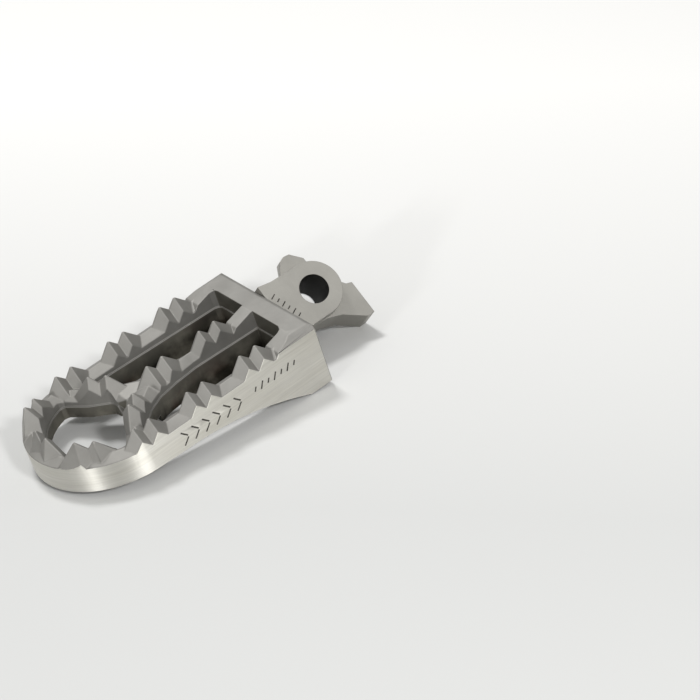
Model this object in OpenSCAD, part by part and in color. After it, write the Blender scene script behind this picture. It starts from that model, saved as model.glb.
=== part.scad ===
// Folding off-road foot peg.
// A cleated deck is carried by a pivot lug. A torsion spring round the lug's rear spigot
// pushes the peg back down, and a thrust washer parts the spring side from the bracket.
// The pivot pin goes through the lug along a line that leans 45 degrees towards the front.
//
// Frame: origin at the middle of the pivot bore, +X from the deck's tip towards the tail,
// +Y rearwards, +Z up and square to the deck's cleats. Millimetres throughout.

/* [Deck] */
// Width of the deck from side to side
deck_width = 55; // [50:0.5:62]
// Length of the deck from its mounting wall to its tip
deck_length = 96.5; // [88:0.5:104]
// Width of the toothed rim
rim_width = 7.5; // [6:0.1:8.5]
// Width of the centre rib
rib_width = 5.8; // [4.8:0.1:6.5]
// Thickness of the mounting wall between the deck and the lug
wall_thickness = 7.8; // [6:0.1:9]
// Length of the rounded tip along the deck
tip_length = 27.5; // [22:0.5:29]
// Depth of the side wall below the cleats, at the mounting wall
depth_at_wall = 27.4; // [24:0.2:30]
// Depth of the side wall in the middle of the arch along its lower edge
depth_at_arch = 16.4; // [15:0.2:19]
// Radius of that arch
arch_radius = 112; // [100:1:140]
// Distance that the deck's centre line lies in front of the pivot bore
deck_offset = 2.4; // [1:0.1:4]
// Height of the cleat tips above the pivot bore
cleat_level = 16; // [15:0.1:18]

/* [Cleats] */
// Distance between the two cleats of a pair
cleat_pitch = 6.2; // [5.6:0.1:6.6]
// Distance from one pair of cleats to the next
pair_pitch = 21.75; // [20:0.25:23]
// Distance from the mounting wall's outer face to the first cleat
first_cleat = 21; // [19:0.5:23]
// Height of a cleat above the gap between pairs
cleat_height = 5; // [4:0.1:6]
// Extra height of the cleats on the rounded tip
tip_cleat_rise = 2.5; // [1:0.1:3.5]
// Width of the flat that is left on the point of a cleat
cleat_flat = 1.1; // [0.6:0.1:1.6]

/* [Pivot lug] */
// Diameter of the pivot pin
pin_diameter = 10; // [9:0.5:10]
// Gap between the pin and the bore, on the radius
pin_gap = 0.15; // [0.05:0.05:0.2]
// Outer radius of the boss round the bore
boss_radius = 10; // [9.8:0.1:10.5]
// Length of the bore
bore_length = 20; // [18:0.5:22]
// Distance from the pivot axis to the mounting wall
lug_reach = 16; // [15.5:0.1:17]
// Thickness of the tail that rests on the bracket's stop
tail_thickness = 12; // [10:0.5:12]
// Lean of the pivot axis from upright, towards the front
axis_lean = 45; // [40:1:50]

/* [Return spring] */
// Diameter of the spring wire
wire_diameter = 2; // [1.8:0.1:2]
// Number of turns in the coil
coil_turns = 2.5; // [1.5:1:2.5]
// Outer radius of the spigot that the coil sits round
spigot_radius = 6.6; // [6.5:0.1:6.6]

/* [Thrust washer] */
// Outer radius of the washer
washer_radius = 9; // [8:0.1:9]
// Diameter of the washer's hole
washer_hole = 11; // [10.9:0.1:12]
// Thickness of the washer
washer_thickness = 1.2; // [1:0.1:1.5]

/* [Hidden] */

cast_steel = [0.66, 0.65, 0.62];
blasted_steel = [0.6, 0.6, 0.6];
spring_steel = [0.35, 0.35, 0.37];
zinc_plate = [0.72, 0.73, 0.76];

half_width = deck_width / 2;
tip_start = deck_length - tip_length;
mid_rim = half_width - rim_width / 2;
rim_gap_level = -cleat_height;
inner_edge_level = -7.5;
outer_edge_level = -6.9;
tip_gap_level = -4.1;
wall_top_level = -4.1;
lip_width = 0.45;
relief_level = 3 - depth_at_arch;
steps = 16;

bore_radius = pin_diameter / 2 + pin_gap;
face_w = bore_length / 2;
shoulder_w = face_w - 11.6;
pocket_radius = spigot_radius + wire_diameter + 0.85;
tail_face_w = face_w - 3.7;
lobe_face_w = face_w - 6;
lobe_back_w = lobe_face_w - 10;
coil_radius = spigot_radius + 0.35 + wire_diameter / 2;
coil_pitch = wire_diameter + 0.1;
coil_end_w = shoulder_w - 0.25 - wire_diameter / 2;
washer_top_w = -face_w - 0.12;

// Point at angle a on the rounded tip, pulled in by d from the outer wall.
function tip_point(a, d) = [tip_start + (tip_length - d) * cos(a), (half_width - d) * sin(a)];

// Deck frame: x from the mounting wall towards the tip, y rearwards, z = 0 at the cleat tips.
module in_deck_frame() {
    translate([-lug_reach, -deck_offset, cleat_level]) mirror([1, 0, 0]) children();
}

// Lug frame: x away from the deck, y up and rearwards, z along the bore towards the front.
module in_lug_frame() {
    rotate([axis_lean, 0, 0]) children();
}

// ---------- deck ----------

// Outline of the deck's outer wall, pulled in by d.
module deck_outline(d = 0) {
    polygon(concat(
        [[d, half_width - d]],
        [for (i = [0 : 40]) tip_point(90 - 180 * i / 40, d)],
        [[d, d - half_width]]
    ));
}

// Edge of the forked end of the centre rib along the slot on the side s.
function fork_edge(s) = [
    [first_cleat + 13, s * rib_width / 2],
    [first_cleat + 22, s * 4.2],
    [first_cleat + 30, s * 6.2],
    [first_cleat + 36, s * 9.6],
    [first_cleat + 42.2, s * 15.4],
    [first_cleat + 46, s * 20]
];

// One of the two long slots, on the side s.
module slot_outline(s) {
    inner = half_width - rim_width;
    offset(r = 2.2) offset(delta = -2.2) polygon(concat(
        [[wall_thickness, s * inner], [wall_thickness, s * rib_width / 2]],
        fork_edge(s)
    ));
    translate([wall_thickness, s > 0 ? rib_width / 2 : -inner + 3]) square([4, inner - rib_width / 2 - 3]);
}

// The D-shaped window behind the tip.
module window_outline() {
    inset = rim_width - 0.6;
    offset(r = 1.8) offset(delta = -1.8) intersection() {
        polygon([for (i = [0 : 40]) tip_point(110 - 220 * i / 40, inset)]);
        polygon([
            [first_cleat + 36.2, 0], [first_cleat + 40.6, 5.4], [first_cleat + 47.1, 11.8],
            [first_cleat + 52, 19], [first_cleat + 54, 24], [deck_length, 24],
            [deck_length, -24], [first_cleat + 54, -24], [first_cleat + 52, -19],
            [first_cleat + 47.1, -11.8], [first_cleat + 40.6, -5.4]
        ]);
    }
}

// Both slots and the window.
module openings() {
    slot_outline(1);
    slot_outline(-1);
    window_outline();
}

// Plan of the deck below the lips of its openings.
module deck_plan() {
    difference() {
        deck_outline();
        offset(delta = -lip_width) openings();
    }
}

// Wider upper part of the openings, down to the narrow lip that runs round each of them.
module above_lips() {
    intersection() {
        translate([0, 0, -20]) linear_extrude(40) openings();
        translate([0, half_width, 0]) rotate([90, 0, 0]) linear_extrude(deck_width) polygon([
            [0, inner_edge_level - 2.9], [first_cleat + 34, inner_edge_level - 1],
            [deck_length, inner_edge_level - 1.6], [deck_length, 20], [0, 20]
        ]);
    }
}

// Side view of the deck: tops above, the arched lower edge below.
module deck_side() {
    arch_mid = first_cleat + 36;
    run = sqrt(2 * arch_radius * (depth_at_wall - depth_at_arch) - pow(depth_at_wall - depth_at_arch, 2));
    polygon(concat(
        [[-1, 12], [-1, -depth_at_wall], [arch_mid - run, -depth_at_wall]],
        [for (i = [0 : steps]) let (x = run * (1 - i / steps))
            [arch_mid - x, -depth_at_arch - arch_radius + sqrt(pow(arch_radius, 2) - x * x)]],
        [[arch_mid + 24, 0.9 - depth_at_arch], [deck_length + 1, 1.1 - depth_at_arch]],
        [[deck_length + 1, 12]]
    ));
}

// Solid under a roof of triangles. edge lists the points round its outside, and its
// sides go straight down from there.
module block_under(points, triangles, edge) {
    n = len(points);
    m = len(edge);
    low = [for (p = points) [p[0], p[1], -40]];
    floor = [for (t = triangles) [n + t[2], n + t[1], n + t[0]]];
    sides = [for (i = [0 : m - 1]) let (a = edge[i], b = edge[(i + 1) % m]) [b, a, n + a, n + b]];
    polyhedron(points = concat(points, low), faces = concat(triangles, floor, sides), convexity = 6);
}

// Roofed bar along a path. Each section holds its left edge, its ridge and its right edge.
module roofed_bar(sections) {
    m = len(sections);
    points = [for (s = sections) each s];
    triangles = [for (i = [0 : m - 2]) let (p = 3 * i) each [
        [p, p + 3, p + 1], [p + 1, p + 3, p + 4], [p + 1, p + 4, p + 2], [p + 2, p + 4, p + 5]
    ]];
    last = 3 * m - 3;
    edge = concat(
        [for (i = [0 : m - 1]) 3 * i], [last + 1, last + 2],
        [for (i = [m - 2 : -1 : 0]) 3 * i + 2], [1]
    );
    block_under(points, triangles, edge);
}

// Four-sided cleat with its point at p. Its sides fall away at these slopes: flank along
// the rim, outer towards the outside and inner towards the inside. facing turns the outside.
module cleat(p, facing = 90, flank = 1.06, outer = 1.08, inner = 1.25, deep = 12) {
    f = cleat_flat / 2;
    reach = [deep / outer, deep / flank, deep / inner, deep / flank];
    points = [for (level = [0, 1]) for (k = [0 : 3]) let (r = f + (level == 0 ? 0 : reach[k]))
        [r * cos(90 * k), r * sin(90 * k), -level * deep]];
    translate(p) rotate([0, 0, facing]) polyhedron(points = points, faces = [
        [3, 2, 1, 0], [4, 5, 6, 7], [0, 1, 5, 4], [1, 2, 6, 5], [2, 3, 7, 6], [3, 0, 4, 7]
    ]);
}

// Two cleats side by side, the first at x, on the line y.
module cleat_pair(x, y, inner = 1.25) {
    cleat([x, y, 0], inner = inner);
    cleat([x + cleat_pitch, y, 0], inner = inner);
}

// Section of the rim: left edge outside, right edge inside.
function rim_section(outside, middle, inside, rise) = [
    [outside[0], outside[1], outer_edge_level + 1.2 * rise],
    [middle[0], middle[1], rim_gap_level + (tip_gap_level - rim_gap_level) * rise],
    [inside[0], inside[1], inner_edge_level - 0.4 * rise]
];
function straight_section(x, s) =
    rim_section([x, s * (half_width + 0.3)], [x, s * mid_rim], [x, s * (mid_rim - rim_width / 2 - 0.7)], 0);
function tip_section(a) =
    rim_section(tip_point(a, -0.3), tip_point(a, rim_width / 2), tip_point(a, rim_width + 1.5), sqrt(cos(a)));

// Roof of the rim, down one side, round the tip and back.
module rim_roof() {
    n = 14;
    roofed_bar(concat(
        [straight_section(wall_thickness - 2, 1)],
        [for (i = [0 : n]) tip_section(90 - 180 * i / n)],
        [straight_section(wall_thickness - 2, -1)]
    ));
}

// Roof of one half of the centre rib, and of the branch of the fork on that side.
module rib_roof() {
    start = wall_thickness - 1 - first_cleat;
    ridge = [[start, 0], [13, 0], [24, 0], [31, 2.6], [39.2, 9.2], [43.6, 13.7], [49, 21]];
    beside = rib_width / 2 + 0.7;
    slot_edge = [[start, beside], [13, beside], [22, 5], [30, 7], [37.2, 12], [41.7, 16.3], [46, 24]];
    window_edge = [[38.8, 0, -1.1], [43.2, 5.6, 0.6], [47.6, 10.4, 0.6], [54, 18, 0.6]];
    k = len(ridge);
    w = len(window_edge);
    points = concat(
        [for (p = ridge) [first_cleat + p[0], p[1], rim_gap_level]],
        [for (p = slot_edge) [first_cleat + p[0], p[1], inner_edge_level]],
        [for (p = window_edge) [first_cleat + p[0], p[1], inner_edge_level - p[2]]]
    );
    block_under(points, concat(
        [for (i = [0 : k - 2]) each [[k + i, k + i + 1, i], [i, k + i + 1, i + 1]]],
        [[2, 3, 2 * k]],
        [for (i = [0 : w - 2]) each [[i + 3, i + 4, 2 * k + i], [2 * k + i, i + 4, 2 * k + i + 1]]]
    ), concat(
        [for (i = [0 : k - 1]) k + i], [k - 1],
        [for (i = [w - 1 : -1 : 0]) 2 * k + i], [2, 1, 0]
    ));
}

// Everything above the gaps: roofs, mounting wall and cleats, before the plan trims them.
module deck_tops() {
    rim_roof();
    wall_top();
    for (side = [0, 1]) mirror([0, side, 0]) {
        rib_roof();
        for (k = [0 : 2]) cleat_pair(first_cleat + k * pair_pitch, mid_rim);
        cleat([first_cleat + 39.2, 8.3, 0.3], facing = 134, outer = 1.3, inner = 1.2);
        cleat([first_cleat + 43.6, 12.5, 0.7], facing = 134, outer = 1.3, inner = 1.2);
        cleat([first_cleat + 61.6, 18.8, tip_cleat_rise - 1.3], facing = 66, outer = 2.4, inner = 1.4);
        cleat([first_cleat + 66.5, 15.5, tip_cleat_rise], facing = 56, outer = 2.2, inner = 1.4);
        cleat([first_cleat + 70.5, 3.2, tip_cleat_rise - 1.2], facing = 14, outer = 1.9, inner = 1.4);
    }
    for (k = [0 : 1]) cleat_pair(first_cleat + k * pair_pitch, 0, inner = 1.08);
}

// Top of the mounting wall. It slopes down along the rims and the rib to the foot of the
// first cleats, and it is rounded off at its front and rear corners.
module wall_top() {
    foot = first_cleat - 5.6;
    end = foot + 4.5;
    top = wall_top_level + 0.9;
    corner = [[0, -2.4], [0.9, -1.1], [2.6, -0.2], [5, 0]];
    intersection() {
        translate([0, half_width, 0]) rotate([90, 0, 0]) linear_extrude(deck_width) polygon([
            [0, -30], [0, wall_top_level], [1.2, wall_top_level + 0.6],
            [wall_thickness + 0.4, top], [foot, rim_gap_level - 0.3], [end, rim_gap_level - 5], [end, -30]
        ]);
        rotate([90, 0, 90]) linear_extrude(end) polygon(concat(
            [[-half_width, -30]],
            [for (c = corner) [c[0] - half_width, top + c[1]]],
            [for (i = [3 : -1 : 0]) [half_width - corner[i][0], top + corner[i][1]]],
            [[half_width, -30]]
        ));
    }
}

// Relief under the fork and round the window, which are shallower than the rim.
module fork_relief() {
    inner = half_width - rim_width - 0.5;
    translate([0, 0, -40]) linear_extrude(40 + relief_level) {
        offset(r = 3) window_outline();
        translate([first_cleat + 33, -inner]) square([22, 2 * inner]);
    }
}

module deck() {
    color(cast_steel) in_deck_frame() difference() {
        intersection() {
            translate([0, 0, -40]) linear_extrude(60) deck_plan();
            translate([0, half_width + 1, 0]) rotate([90, 0, 0]) linear_extrude(deck_width + 2) deck_side();
            deck_tops();
        }
        fork_relief();
        above_lips();
    }
}

// ---------- pivot lug ----------

// Outline of the tail: a flat stop face at the end and a hollow underside.
module tail_outline() {
    polygon([
        [-lug_reach + 1, 0], [0, boss_radius - 2], [9.6, -1], [12, -4.1], [14, -4.8],
        [14, -17.6], [11.2, -17.6], [8.3, -15.4], [4, -12.2], [-1, -10.4], [-7, -9.8],
        [-lug_reach + 1, -9.8]
    ]);
}

// Lobe that the spring's upper leg pulls on. It narrows towards the back on the deck's side.
module lobe() {
    for_deck = [[-6.2, 4], [-4.9, 10.6], [-1.6, 15.1]];
    for_leg = [[0.4, 15.9], [2.7, 15.6], [4.4, 13.7], [6.2, 11.7], [6.4, 4]];
    skin = 0.5;
    hull() {
        translate([0, 0, lobe_face_w - skin]) linear_extrude(skin) polygon(concat(for_deck, for_leg));
        translate([0, 0, lobe_back_w]) linear_extrude(skin)
            polygon(concat([for (p = for_deck) p + [2.4, 0]], for_leg));
    }
}

// Outline of the neck from the boss to the deck's mounting wall, flared at its root.
module neck_outline() {
    polygon([[-lug_reach, -9.8], [-1, -boss_radius + 0.05], [-1, boss_radius - 0.05],
             [-11, boss_radius + 0.3], [-lug_reach, boss_radius + 1.3]]);
}

module pivot_lug() {
    color(blasted_steel) in_lug_frame() difference() {
        union() {
            translate([0, 0, shoulder_w]) cylinder(h = face_w - shoulder_w, r = boss_radius, $fn = 96);
            translate([0, 0, shoulder_w]) linear_extrude(face_w - shoulder_w) neck_outline();
            translate([0, 0, tail_face_w - tail_thickness]) linear_extrude(tail_thickness) tail_outline();
            lobe();
        }
        translate([0, 0, shoulder_w - 20]) cylinder(h = 20, r = pocket_radius, $fn = 96);
        translate([0, 0, -face_w - 1]) cylinder(h = bore_length + 2, r = bore_radius, $fn = 96);
    }
    color(blasted_steel) in_lug_frame() translate([0, 0, -face_w]) difference() {
        cylinder(h = face_w + shoulder_w, r = spigot_radius, $fn = 96);
        translate([0, 0, -1]) cylinder(h = face_w + shoulder_w + 1, r = bore_radius, $fn = 96);
    }
}

// ---------- return spring ----------

leg_rise = 12.5;
lobe_leg_rise = 11.6;
coil_steps = 22;

// Centre line of the wire: down beside the lobe, round the spigot, and up behind the tail
// side to the bracket.
function coil_point(t) = [
    coil_radius * cos(360 * t),
    -coil_radius * sin(360 * t),
    coil_end_w - coil_pitch * t
];
wire_path = concat(
    [[coil_radius, lobe_leg_rise, coil_end_w]],
    [for (i = [0 : coil_turns * coil_steps]) coil_point(i / coil_steps)],
    [coil_point(coil_turns) + [0, leg_rise, 0]]
);

function unit(v) = v / norm(v);
function heading(path, i) = unit(path[min(i + 1, len(path) - 1)] - path[max(i - 1, 0)]);
function ring(path, i, r, n) = let (d = heading(path, i), s = unit(cross(d, [0, 0, 1])), u = cross(s, d))
    [for (k = [0 : n - 1]) path[i] + r * (cos(360 * k / n) * s + sin(360 * k / n) * u)];

// Round wire along a path.
module wire(path, r, n = 8) {
    m = len(path);
    points = [for (i = [0 : m - 1]) each ring(path, i, r, n)];
    sides = [for (i = [0 : m - 2]) for (k = [0 : n - 1])
        [i * n + k, i * n + (k + 1) % n, (i + 1) * n + (k + 1) % n, (i + 1) * n + k]];
    ends = [[for (k = [n - 1 : -1 : 0]) k], [for (k = [0 : n - 1]) (m - 1) * n + k]];
    polyhedron(points = points, faces = concat(sides, ends));
}

module return_spring() {
    color(spring_steel) in_lug_frame() wire(wire_path, wire_diameter / 2);
}

// ---------- thrust washer ----------

module thrust_washer() {
    color(zinc_plate) in_lug_frame() translate([0, 0, washer_top_w - washer_thickness]) difference() {
        cylinder(h = washer_thickness, r = washer_radius, $fn = 96);
        translate([0, 0, -1]) cylinder(h = washer_thickness + 2, r = washer_hole / 2, $fn = 96);
    }
}

deck();
pivot_lug();
return_spring();
thrust_washer();
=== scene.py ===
import math

import bmesh
import bpy
from mathutils import Matrix, Vector
from mathutils.bvhtree import BVHTree


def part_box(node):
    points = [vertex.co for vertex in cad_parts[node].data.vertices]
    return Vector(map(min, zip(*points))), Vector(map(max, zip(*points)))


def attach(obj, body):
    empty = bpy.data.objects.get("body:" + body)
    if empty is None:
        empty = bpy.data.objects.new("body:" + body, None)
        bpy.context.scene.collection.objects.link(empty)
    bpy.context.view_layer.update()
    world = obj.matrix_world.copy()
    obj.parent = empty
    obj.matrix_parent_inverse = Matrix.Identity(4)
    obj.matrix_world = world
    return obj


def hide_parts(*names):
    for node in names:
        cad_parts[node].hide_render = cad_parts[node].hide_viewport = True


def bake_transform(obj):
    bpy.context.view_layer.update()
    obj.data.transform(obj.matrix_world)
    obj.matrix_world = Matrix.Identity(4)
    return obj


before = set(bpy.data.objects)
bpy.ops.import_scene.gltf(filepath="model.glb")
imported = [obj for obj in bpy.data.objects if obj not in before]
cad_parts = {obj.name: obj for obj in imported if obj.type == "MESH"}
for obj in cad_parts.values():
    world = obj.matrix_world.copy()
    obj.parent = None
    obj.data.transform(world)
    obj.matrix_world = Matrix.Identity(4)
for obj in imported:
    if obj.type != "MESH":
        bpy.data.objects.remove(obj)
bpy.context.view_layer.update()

# Folding foot peg, lying on a pale table. Everything is in metres, in the frame of the
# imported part: origin in the middle of the pivot bore, +X towards the stop tail, +Y
# rearwards, +Z square to the cleats.

MM = 0.001

# Driving sizes, the same as the part's own.
DECK_WIDTH = 55 * MM
DECK_LENGTH = 96.5 * MM
TIP_LENGTH = 27.5 * MM
LUG_REACH = 16 * MM
WALL_THICKNESS = 7.8 * MM
DECK_OFFSET = 2.4 * MM
CLEAT_LEVEL = 16 * MM
BORE_LENGTH = 20 * MM
BORE_RADIUS = 5.15 * MM
AXIS_LEAN = math.radians(45)
WIRE_RADIUS = 1 * MM
COIL_RADIUS = 7.95 * MM
COIL_TURNS = 2.5
COIL_PITCH = 2.1 * MM
COIL_START_W = -2.85 * MM
WASHER_LEG_RISE = 12.5 * MM
LOBE_LEG_RISE = 11.6 * MM

# The narrow lip round the deck's openings rises from the mounting wall to the fork.
LIP_AT_WALL = CLEAT_LEVEL - 10.4 * MM
LIP_AT_FORK = CLEAT_LEVEL - 8.5 * MM
WALL_TO_FORK = 55 * MM

deck_low, deck_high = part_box("deck")
DECK_CENTRE = (deck_low + deck_high) / 2
BORE_AXIS = Vector((0, -math.sin(AXIS_LEAN), math.cos(AXIS_LEAN)))
FRONT_WALL_Y = -DECK_OFFSET - DECK_WIDTH / 2


def from_lug(u, v, w):
    """Point of the lug's own frame: u away from the deck, v up and back, w along the bore."""
    c, s = math.cos(AXIS_LEAN), math.sin(AXIS_LEAN)
    return Vector((u, v * c - w * s, v * s + w * c))


def add_object(name, data):
    """New object in the scene."""
    obj = bpy.data.objects.new(name, data)
    bpy.context.scene.collection.objects.link(obj)
    return obj


def mesh_from(bm, name):
    """New mesh made from bm, which is freed."""
    mesh = bpy.data.meshes.new(name)
    bm.to_mesh(mesh)
    bm.free()
    return mesh


# ---------------------------------------------------------------- camera, table and light

CAMERA_AZIMUTH = math.radians(-27.31)
CAMERA_ELEVATION = math.radians(35.28)
CAMERA_ROLL = math.radians(-18.48)
CAMERA_DISTANCE = 820.6 * MM
CAMERA_TARGET = Vector((-9.69, -36.40, 0)) * MM
SENSOR_WIDTH = 36
LENS = 128.57


def make_camera():
    """Camera in front of the peg and above it, turned a little about its line of sight."""
    data = bpy.data.cameras.new("camera")
    camera = add_object("camera", data)
    back = Vector((
        math.sin(CAMERA_AZIMUTH) * math.cos(CAMERA_ELEVATION),
        -math.cos(CAMERA_AZIMUTH) * math.cos(CAMERA_ELEVATION),
        math.sin(CAMERA_ELEVATION),
    ))
    camera.rotation_mode = "QUATERNION"
    level = (-back).to_track_quat("-Z", "Y")
    camera.rotation_quaternion = level @ Matrix.Rotation(CAMERA_ROLL, 3, "Z").to_quaternion()
    camera.location = CAMERA_TARGET + back * CAMERA_DISTANCE
    data.sensor_width = SENSOR_WIDTH
    data.lens = LENS
    data.clip_start = 0.05
    data.clip_end = 20
    bpy.context.scene.camera = camera


# TABLE_TOUCH is the point of the table under the end of the tail.
TABLE_TILT = math.atan2(0.128, 0.992)
TABLE_TOUCH = Vector((13.4, 0, -16.6)) * MM
TABLE_HALF_SIDE = 4


def make_table():
    """The peg rests on the end of its tail and on its tip, so the table leans in its frame."""
    bm = bmesh.new()
    bmesh.ops.create_grid(bm, x_segments=1, y_segments=1, size=TABLE_HALF_SIDE)
    table = add_object("table", mesh_from(bm, "table"))
    table.rotation_euler = (0, TABLE_TILT, 0)
    table.location = TABLE_TOUCH
    table.data.materials.append(paper_material())


def add_area_light(name, direction, distance, size, power):
    """Square area light that shines on the middle of the deck along a direction."""
    data = bpy.data.lights.new(name, "AREA")
    data.shape = "SQUARE"
    data.size = size
    data.energy = power
    light = add_object(name, data)
    away = -Vector(direction).normalized()
    light.location = DECK_CENTRE + away * distance
    light.rotation_mode = "QUATERNION"
    light.rotation_quaternion = away.to_track_quat("Z", "Y")


def make_lights():
    """A window overhead, two strips whose glints stand on the tip's wall, and a white room."""
    add_area_light("window", (-0.13, -0.38, -0.92), distance=1.2, size=0.26, power=7.5)
    add_area_light("front_strip", (-0.06, 0.8, -0.6), distance=1.0, size=0.12, power=4.2)
    add_area_light("left_strip", (0.73, 0.35, -0.4), distance=1.0, size=0.09, power=2.4)
    world = bpy.data.worlds.new("studio")
    bpy.context.scene.world = world
    world.use_nodes = True
    background = world.node_tree.nodes["Background"]
    background.inputs["Color"].default_value = (1, 1, 0.985, 1)
    background.inputs["Strength"].default_value = 0.47
    bpy.context.scene.view_settings.view_transform = "Standard"


# ---------------------------------------------------------------- materials

class Nodes:
    """Short way to build a node material. place is the object's own coordinates, in metres."""

    def __init__(self, name):
        self.material = bpy.data.materials.new(name)
        self.material.use_nodes = True
        self.tree = self.material.node_tree
        self.shader = self.tree.nodes["Principled BSDF"]
        self.place = self.add("ShaderNodeTexCoord").outputs["Object"]

    def add(self, kind, **settings):
        """New node of a kind, with its settings."""
        node = self.tree.nodes.new(kind)
        for key, value in settings.items():
            setattr(node, key, value)
        return node

    def join(self, output, target):
        """Link from a socket to a socket."""
        self.tree.links.new(output, target)

    def set(self, **values):
        """Values of the shader's own sockets. An underscore stands for a space."""
        for key, value in values.items():
            self.shader.inputs[key.replace("_", " ")].default_value = value

    def colour(self, colour):
        """Joins the base colour."""
        self.join(colour, self.shader.inputs["Base Color"])

    def roughness(self, value, low, high):
        """Roughness that runs from low to high as value runs from 0 to 1."""
        self.join(self.to_range(value, low, high), self.shader.inputs["Roughness"])

    def stretched(self, scale):
        """The object's own coordinates, scaled by a different amount along each axis."""
        mapping = self.add("ShaderNodeMapping")
        mapping.inputs["Scale"].default_value = scale
        self.join(self.place, mapping.inputs["Vector"])
        return mapping.outputs["Vector"]

    def noise(self, scale, detail=4, roughness=0.55, stretch=(1, 1, 1)):
        """Noise from 0 to 1, with about scale features to a metre."""
        node = self.add("ShaderNodeTexNoise")
        node.inputs["Scale"].default_value = scale
        node.inputs["Detail"].default_value = detail
        node.inputs["Roughness"].default_value = roughness
        self.join(self.stretched(stretch), node.inputs["Vector"])
        return node.outputs["Fac"]

    def ramp(self, value, stops):
        """Colour ramp over a value. stops holds (position, colour)."""
        node = self.add("ShaderNodeValToRGB")
        elements = node.color_ramp.elements
        while len(elements) < len(stops):
            elements.new(0.5)
        for element, (position, colour) in zip(elements, stops):
            element.position = position
            element.color = (*colour, 1)
        self.join(value, node.inputs["Fac"])
        return node.outputs["Color"]

    def two_tone(self, noise, first, second):
        """Runs from the first colour to the second over the middle of a noise."""
        return self.ramp(noise, [(0.3, first), (0.7, second)])

    def mix(self, factor, a, b, blend="MIX"):
        """Mixed colour. Each input is a socket or a plain value."""
        node = self.add("ShaderNodeMix", data_type="RGBA", blend_type=blend)
        for value, socket in ((factor, node.inputs[0]), (a, node.inputs[6]), (b, node.inputs[7])):
            if hasattr(value, "links"):
                self.join(value, socket)
            else:
                socket.default_value = value
        return node.outputs[2]

    def to_range(self, value, low, high, old=(0, 1)):
        """Carries the value's old range over to low and high."""
        node = self.add("ShaderNodeMapRange")
        node.inputs["From Min"].default_value = old[0]
        node.inputs["From Max"].default_value = old[1]
        node.inputs["To Min"].default_value = low
        node.inputs["To Max"].default_value = high
        self.join(value, node.inputs["Value"])
        return node.outputs["Result"]

    def bump(self, heights):
        """Adds bump maps one over another. heights holds (height, distance, strength)."""
        normal = None
        for height, distance, strength in heights:
            node = self.add("ShaderNodeBump")
            node.inputs["Distance"].default_value = distance
            node.inputs["Strength"].default_value = strength
            self.join(height, node.inputs["Height"])
            if normal is not None:
                self.join(normal, node.inputs["Normal"])
            normal = node.outputs["Normal"]
        self.join(normal, self.shader.inputs["Normal"])


def paper_material():
    """Off-white table paper with painted light falloff: brighter rearwards and towards the tail's side.
    """
    n = Nodes("paper")
    # Painted light falloff: the sheet's colour brightens rearwards and towards the tail's side.
    turn = n.add("ShaderNodeMapping")
    turn.inputs["Rotation"].default_value = (0, 0, math.radians(-37))
    n.join(n.place, turn.inputs["Vector"])
    split = n.add("ShaderNodeSeparateXYZ")
    n.join(turn.outputs["Vector"], split.inputs["Vector"])
    painted_falloff = n.to_range(split.outputs["X"], 0, 1, old=(-0.11, 0.17))
    sheet_painted_light = n.ramp(painted_falloff, [(0, (0.595, 0.598, 0.59)), (1, (0.88, 0.875, 0.86))])
    tone = n.two_tone(n.noise(1.5, detail=2), (0.97, 0.97, 0.97), (1, 1, 1))
    n.colour(n.mix(0.5, sheet_painted_light, tone, "MULTIPLY"))
    n.set(Roughness=0.65, Specular_IOR_Level=0.2)
    return n.material


def blasted_material(name, dark, light, roughness):
    """Cast stainless steel, matt from shot blasting."""
    n = Nodes(name)
    cloud = n.noise(90, detail=5)
    n.colour(n.two_tone(cloud, dark, light))
    n.roughness(cloud, roughness - 0.05, roughness + 0.08)
    grain = n.noise(2600, detail=3, roughness=0.6)
    skin = n.noise(420)
    n.bump([(grain, 0.04 * MM, 0.6), (skin, 0.12 * MM, 0.5)])
    n.set(Metallic=0.9)
    return n.material


def brushed_material():
    """Ground and brushed outer wall: fine lines that run round the deck at one height."""
    n = Nodes("brushed")
    lines = n.noise(1, detail=7, roughness=0.75, stretch=(45, 45, 1500))
    bands = n.noise(1, detail=3, stretch=(22, 22, 130))
    line_tone = n.two_tone(lines, (0.58, 0.56, 0.50), (0.90, 0.885, 0.82))
    band_tone = n.two_tone(bands, (0.70, 0.68, 0.61), (0.86, 0.85, 0.81))
    n.colour(n.mix(0.5, line_tone, band_tone))
    n.roughness(lines, 0.42, 0.66)
    n.bump([(lines, 0.08 * MM, 0.6), (bands, 0.2 * MM, 0.35)])
    n.set(Metallic=1, Anisotropic=0.95)
    normal = n.add("ShaderNodeNewGeometry").outputs["Normal"]
    along = n.add("ShaderNodeVectorMath", operation="CROSS_PRODUCT")
    along.inputs[0].default_value = (0, 0, 1)
    n.join(normal, along.inputs[1])
    across = n.add("ShaderNodeVectorMath", operation="CROSS_PRODUCT")
    n.join(normal, across.inputs[0])
    n.join(along.outputs["Vector"], across.inputs[1])
    n.join(across.outputs["Vector"], n.shader.inputs["Tangent"])
    return n.material


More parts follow.
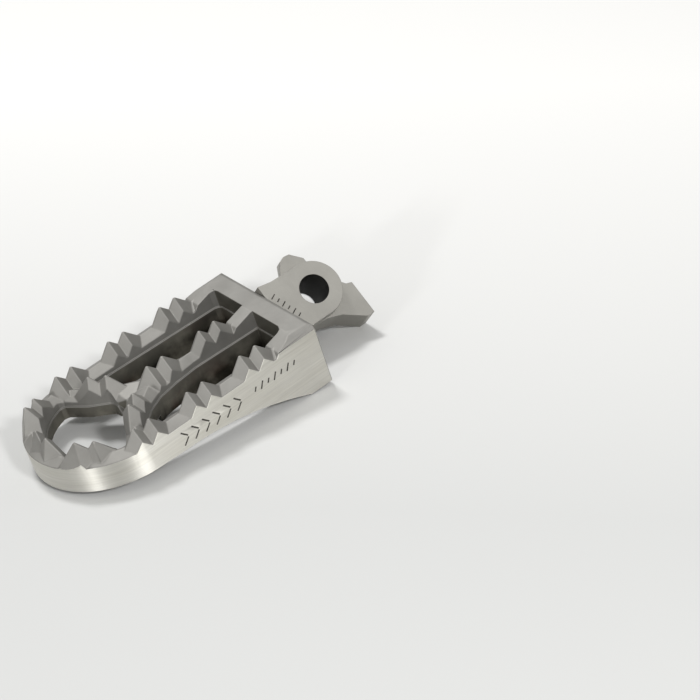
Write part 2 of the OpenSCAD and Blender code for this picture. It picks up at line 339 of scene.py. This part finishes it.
def inside_material():
    """Walls of the slots: as cast, dark brown scale with rust-red patches, lighter towards the top."""
    n = Nodes("inside")
    patches = n.noise(75)
    scale = n.ramp(patches, [
        (0.38, (0.008, 0.007, 0.005)), (0.5, (0.05, 0.045, 0.034)), (0.66, (0.22, 0.205, 0.17)),
    ])
    rust = n.ramp(n.noise(55, detail=3), [(0.52, (0, 0, 0)), (0.7, (0.6, 0.6, 0.6))])
    brown = n.mix(rust, scale, (0.06, 0.015, 0.008, 1))
    split = n.add("ShaderNodeSeparateXYZ")
    n.join(n.place, split.inputs["Vector"])
    near_top = n.to_range(split.outputs["Z"], 0, 0.6, old=(CLEAT_LEVEL - 16 * MM, CLEAT_LEVEL - 9 * MM))
    n.colour(n.mix(near_top, brown, (0.27, 0.26, 0.225, 1)))
    n.roughness(patches, 0.38, 0.6)
    n.bump([(n.noise(900), 0.06 * MM, 0.6)])
    n.set(Metallic=0.85)
    return n.material


def bore_painted_shade_material():
    """Wall of the bore: painted shade, near-black, for the dark deep in the hole."""
    n = Nodes("bore")
    shade_mottle = n.noise(500)
    n.colour(n.two_tone(shade_mottle, (0.006, 0.006, 0.005), (0.02, 0.019, 0.016)))
    n.roughness(shade_mottle, 0.5, 0.7)
    n.bump([(shade_mottle, 0.03 * MM, 0.5)])
    n.set(Metallic=0.2, Specular_IOR_Level=0.15)
    return n.material


def engraved_material():
    """Floor and sides of the engraved marks, darker than the face around them."""
    n = Nodes("engraved")
    speckle = n.noise(1200)
    n.colour(n.two_tone(speckle, (0.05, 0.047, 0.04), (0.16, 0.15, 0.135)))
    n.roughness(speckle, 0.6, 0.8)
    n.bump([(speckle, 0.03 * MM, 0.5)])
    n.set(Metallic=0.6)
    return n.material


def plated_material():
    """Zinc-plated washer, with faint rings from its turning."""
    n = Nodes("zinc")
    n.colour(n.two_tone(n.noise(200), (0.62, 0.64, 0.66), (0.72, 0.73, 0.74)))
    rings = n.noise(1, detail=5, stretch=(300, 3000, 3000))
    n.roughness(rings, 0.25, 0.4)
    n.bump([(rings, 0.02 * MM, 0.4)])
    n.set(Metallic=1)
    return n.material


def wire_material():
    """Dark drawn spring wire."""
    n = Nodes("wire")
    cloud = n.noise(300)
    n.colour(n.two_tone(cloud, (0.10, 0.10, 0.11), (0.19, 0.19, 0.2)))
    n.roughness(cloud, 0.28, 0.45)
    n.bump([(n.noise(1500, detail=3), 0.03 * MM, 0.5)])
    n.set(Metallic=1)
    return n.material


# ---------------------------------------------------------------- the casting

# Corners nearer than this are one corner, and faces that meet flatter than this are one face.
SAME_CORNER = 0.06 * MM
SAME_FACE = math.radians(0.6)
# Edges that turn by more than this are rounded.
SHARP = math.radians(18)
# A corner of a rounded edge may stand this far out of the part's surface.
STANDS_OUT = 0.02 * MM
DECK_EDGE = 0.32 * MM
LUG_EDGE = 0.22 * MM


def final_mesh(obj, name):
    """New object that holds obj's mesh with its modifiers applied. obj is removed."""
    graph = bpy.context.evaluated_depsgraph_get()
    mesh = bpy.data.meshes.new_from_object(obj.evaluated_get(graph))
    bpy.data.objects.remove(obj)
    mesh.name = name
    return add_object(name, mesh)


def pull_onto(mesh, source, furthest):
    """Put back on the source's surface each corner that the bevel threw out of it or too deep."""
    bm = bmesh.new()
    bm.from_mesh(source)
    surface = BVHTree.FromBMesh(bm)
    bm.free()
    for vert in mesh.vertices:
        near, normal, _, distance = surface.find_nearest(vert.co)
        if distance > furthest or (vert.co - near).dot(normal) > STANDS_OUT:
            vert.co = near


def softened_casting(node, name, edge, materials, cutter):
    """Copy of a CAD node with its sharp edges rounded, as a casting's are, and marks cut in it."""
    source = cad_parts[node].data
    bm = bmesh.new()
    bm.from_mesh(source)
    bmesh.ops.remove_doubles(bm, verts=bm.verts, dist=SAME_CORNER)
    bmesh.ops.dissolve_limit(bm, angle_limit=SAME_FACE, verts=bm.verts, edges=bm.edges)
    for face in bm.faces:
        face.material_index = 0
        face.smooth = True
    sharp = add_object(name + "_sharp", mesh_from(bm, name + "_sharp"))
    for material in materials:
        sharp.data.materials.append(material)
    bevel = sharp.modifiers.new("edge", "BEVEL")
    bevel.width = edge
    bevel.segments = 3
    bevel.use_clamp_overlap = False
    bevel.limit_method = "ANGLE"
    bevel.angle_limit = SHARP
    rounded = final_mesh(sharp, name + "_rounded")
    pull_onto(rounded.data, source, 0.7 * edge)
    cut = rounded.modifiers.new("marks", "BOOLEAN")
    cut.operation = "DIFFERENCE"
    cut.solver = "MANIFOLD"
    cut.material_mode = "TRANSFER"
    cut.object = cutter
    rounded.modifiers.new("flat", "WEIGHTED_NORMAL")
    casting = final_mesh(rounded, name)
    bpy.data.objects.remove(cutter)
    return casting


def bars(name, strokes, material):
    """Cutter made of thin boxes. strokes holds (matrix, length, width, depth)."""
    bm = bmesh.new()
    for matrix, length, width, depth in strokes:
        size = Matrix.Diagonal((length, width, 2 * depth, 1))
        bmesh.ops.create_cube(bm, size=1, matrix=matrix @ size)
    mesh = mesh_from(bm, name)
    mesh.materials.append(material)
    return add_object(name, mesh)


# Marks in the front wall.
GROOVE = 0.55 * MM
GROOVE_DEPTH = 0.35 * MM
CHEVRONS = 6
CHEVRON_START = -72.4 * MM
CHEVRON_LEVEL = 4.1 * MM
CHEVRON_PITCH = 4.3 * MM
CHEVRON_DROP = 0.12 * MM
CHEVRON_ARM = 3.2 * MM
CHEVRON_ARM_RISE = 1.45 * MM
CHEVRON_ARM_ANGLE = math.radians(46)
WALL_STROKES = 7
WALL_STROKE_START = -43.5 * MM
WALL_STROKE_PITCH = 2.7 * MM
WALL_STROKE_LEVEL = 4 * MM
WALL_STROKE_ANGLE = math.radians(62)


def wall_marks(material):
    """Plain marks in the front wall: a row of open chevrons, then a row of strokes."""
    strokes = []
    upright = Matrix.Rotation(math.radians(90), 4, "X")

    def stroke(x, z, angle, length):
        place = Matrix.Translation((x, FRONT_WALL_Y, z))
        turn = upright @ Matrix.Rotation(angle, 4, "Z")
        strokes.append((place @ turn, length, GROOVE, GROOVE_DEPTH))

    for k in range(CHEVRONS):
        x = CHEVRON_START + CHEVRON_PITCH * k
        z = CHEVRON_LEVEL - CHEVRON_DROP * k
        for side in (-1, 1):
            stroke(x, z + CHEVRON_ARM_RISE * side, -CHEVRON_ARM_ANGLE * side, CHEVRON_ARM)
    for k in range(WALL_STROKES):
        length = 3 * MM if k % 2 else 1.8 * MM
        stroke(WALL_STROKE_START + WALL_STROKE_PITCH * k, WALL_STROKE_LEVEL, WALL_STROKE_ANGLE, length)
    return bars("wall_marks", strokes, material)


# Marks on the neck's upper face. The row starts at NECK_ROW and steps by NECK_STEP.
NECK_STROKES = 6
NECK_ROW = Vector((-13.6 * MM, 5.6 * MM, BORE_LENGTH / 2))
NECK_STEP = Vector((0.75, -2, 0)) * MM
NECK_STROKE_ANGLE = math.radians(25)
NECK_GROOVE = 0.4 * MM
NECK_GROOVE_DEPTH = 0.2 * MM


def neck_marks(material):
    """A row of short parallel strokes on the neck, beside the bore."""
    lean = Matrix.Rotation(AXIS_LEAN, 4, "X")
    turn = Matrix.Rotation(NECK_STROKE_ANGLE, 4, "Z")
    strokes = []
    for k in range(NECK_STROKES):
        place = lean @ Matrix.Translation(NECK_ROW + NECK_STEP * k) @ turn
        length = 1.5 * MM if k % 2 else 2.2 * MM
        strokes.append((place, length, NECK_GROOVE, NECK_GROOVE_DEPTH))
    return bars("neck_marks", strokes, material)


def towards_wall(x, y):
    """How near a point lies to the deck's outer wall: 1 on it, less inside."""
    across = abs(y + DECK_OFFSET) / (DECK_WIDTH / 2)
    along = (-LUG_REACH - x - (DECK_LENGTH - TIP_LENGTH)) / TIP_LENGTH
    if along <= 0:
        return across
    return math.hypot(along, across)


def lip_level(x):
    """Height of the narrow lip that runs round the deck's openings."""
    along = (-LUG_REACH - x) / WALL_TO_FORK
    if along < 1:
        return LIP_AT_WALL + (LIP_AT_FORK - LIP_AT_WALL) * max(along, 0)
    return LIP_AT_FORK


def deck_finish(face):
    """Number of a deck face's material: 0 blasted, 1 brushed outer wall, 2 inside an opening."""
    x, y, z = face.center
    normal = face.normal
    to_wall = towards_wall(x, y)
    outer_wall = abs(normal.z) < 0.3 and to_wall > 0.985 and x < -LUG_REACH - 0.5 * MM
    opening_side = abs(normal.z) < 0.1 and to_wall < 0.9 and z < lip_level(x) - 0.05 * MM
    opening_end = normal.x < -0.9 and x > -LUG_REACH - WALL_THICKNESS - 0.5 * MM
    if outer_wall:
        return 1
    return 2 if opening_side or opening_end else 0


def make_deck(engraved):
    """The cleated deck, with its outer wall brushed and the walls of its openings as cast."""
    blasted = blasted_material("blasted", (0.27, 0.263, 0.247), (0.345, 0.337, 0.318), 0.62)
    materials = (blasted, brushed_material(), inside_material())
    deck = softened_casting("deck", "deck_casting", DECK_EDGE, materials, wall_marks(engraved))
    for face in deck.data.polygons:
        if face.material_index == 0:
            face.material_index = deck_finish(face)
    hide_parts("deck")
    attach(deck, "peg")


def make_lug(engraved):
    """The pivot lug, with its bore."""
    blasted = blasted_material("blasted_lug", (0.335, 0.325, 0.30), (0.395, 0.385, 0.355), 0.6)
    materials = (blasted, bore_painted_shade_material())
    lug = softened_casting("pivot_lug", "lug_casting", LUG_EDGE, materials, neck_marks(engraved))
    # Faces in the bore take the near-black painted shade.
    for face in lug.data.polygons:
        along = face.center.dot(BORE_AXIS)
        out = (face.center - BORE_AXIS * along).length
        in_bore = out < BORE_RADIUS + 0.05 * MM and abs(along) < BORE_LENGTH / 2 - 0.1 * MM
        if in_bore:
            face.material_index = 1
    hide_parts("pivot_lug")
    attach(lug, "peg")


# ---------------------------------------------------------------- spring and washer

COIL_STEPS = 40
LEG_STEPS = 6
WIRE_SIDES = 16
WASHER_EDGE = 0.15 * MM


def tube(name, route, radius, sides):
    """Closed round tube along a route of points."""
    bm = bmesh.new()
    rings = []
    side = None
    for i, point in enumerate(route):
        ahead = (route[min(i + 1, len(route) - 1)] - route[max(i - 1, 0)]).normalized()
        if side is None:
            side = ahead.orthogonal().normalized()
        side = (side - ahead * side.dot(ahead)).normalized()
        other = ahead.cross(side)
        ring = []
        for k in range(sides):
            a = 2 * math.pi * k / sides
            ring.append(bm.verts.new(point + radius * (math.cos(a) * side + math.sin(a) * other)))
        rings.append(ring)
    for a, b in zip(rings, rings[1:]):
        for k in range(sides):
            bm.faces.new((a[k], a[(k + 1) % sides], b[(k + 1) % sides], b[k]))
    bm.faces.new(list(reversed(rings[0])))
    bm.faces.new(rings[-1])
    mesh = mesh_from(bm, name)
    mesh.shade_smooth()
    return add_object(name, mesh)


def make_spring():
    """Torsion spring. Its coil twists between the washer's end and the lobe's end."""
    end_w = COIL_START_W - COIL_PITCH * COIL_TURNS
    lobe_leg = [from_lug(COIL_RADIUS, LOBE_LEG_RISE * (1 - k / LEG_STEPS), COIL_START_W)
                for k in range(LEG_STEPS)]
    washer_leg = [from_lug(-COIL_RADIUS, WASHER_LEG_RISE * (k + 1) / LEG_STEPS, end_w)
                  for k in range(LEG_STEPS)]
    coil = []
    for i in range(int(COIL_TURNS * COIL_STEPS) + 1):
        turns = i / COIL_STEPS
        u = COIL_RADIUS * math.cos(2 * math.pi * turns)
        v = -COIL_RADIUS * math.sin(2 * math.pi * turns)
        coil.append(from_lug(u, v, COIL_START_W - COIL_PITCH * turns))
    spring = tube("spring_wire", lobe_leg + coil + washer_leg, WIRE_RADIUS, WIRE_SIDES)
    spring.data.materials.append(wire_material())
    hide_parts("return_spring")
    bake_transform(spring)


def finish_washer():
    """The washer keeps its CAD shape, with plated steel and eased edges."""
    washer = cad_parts["thrust_washer"]
    washer.data.materials.clear()
    washer.data.materials.append(plated_material())
    bevel = washer.modifiers.new("edge", "BEVEL")
    bevel.width = WASHER_EDGE
    bevel.segments = 2


make_camera()
make_table()
make_lights()
engraved = engraved_material()
make_deck(engraved)
make_lug(engraved)
make_spring()
finish_washer()
